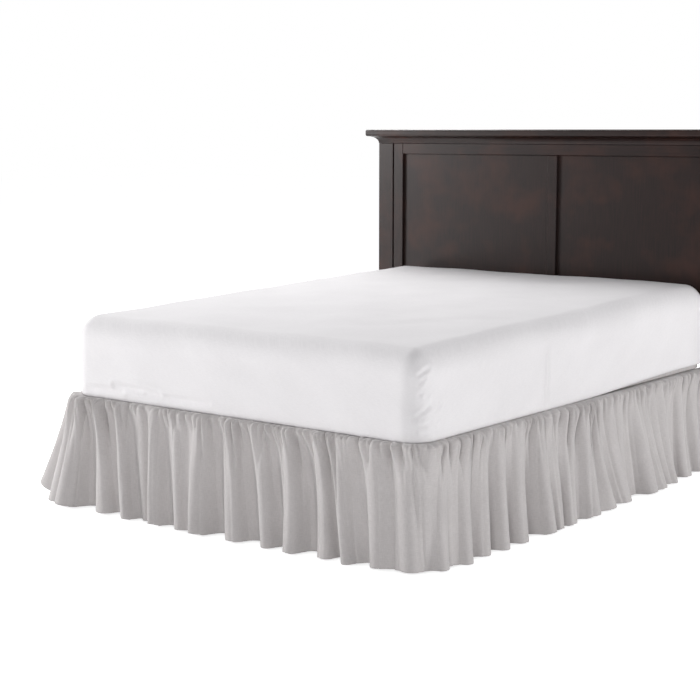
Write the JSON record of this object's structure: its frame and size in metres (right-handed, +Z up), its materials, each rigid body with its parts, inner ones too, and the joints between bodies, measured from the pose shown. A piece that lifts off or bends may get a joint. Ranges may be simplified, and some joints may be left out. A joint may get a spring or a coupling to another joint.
{
  "type": "bed skirt on a bed",
  "caption": "Gathered bed skirt: a flat deck under the mattress with a floor-length ruffle on the foot and both sides, on a plain bed with a panelled headboard.",
  "frame": {"origin": "on the floor under the middle of the bed", "axes": "+Z up, +Y towards the headboard, +X to the right as seen from the foot"},
  "size_m": [1.986, 2.281, 1.386],
  "materials": {
    "skirt_cloth": "matte plain-weave cotton, warm light grey",
    "white_sheet": "matte white percale",
    "ticking": "matte off-white ticking",
    "frame_steel": "satin black powder coat",
    "dark_wood": "satin espresso stain over straight grain"
  },
  "bodies": {
    "root": {"deck": "skirt_cloth", "ruffle_left": "skirt_cloth", "ruffle_foot": "skirt_cloth", "ruffle_right": "skirt_cloth", "mattress": "white_sheet", "foundation": "ticking", "rail_left": "frame_steel", "rail_right": "frame_steel", "head_rail": "frame_steel", "slat_1": "frame_steel", "slat_2": "frame_steel", "slat_3": "frame_steel", "slat_4": "frame_steel", "leg_left_1": "frame_steel", "leg_left_2": "frame_steel", "leg_left_3": "frame_steel", "leg_right_1": "frame_steel", "leg_right_2": "frame_steel", "leg_right_3": "frame_steel", "post_left": "dark_wood", "post_right": "dark_wood", "stile_left": "dark_wood", "stile_right": "dark_wood", "stile_centre": "dark_wood", "top_rail": "dark_wood", "bottom_rail": "dark_wood", "panel_left": "dark_wood", "panel_right": "dark_wood", "cove": "dark_wood", "cornice": "dark_wood"}
  },
  "joints": []
}
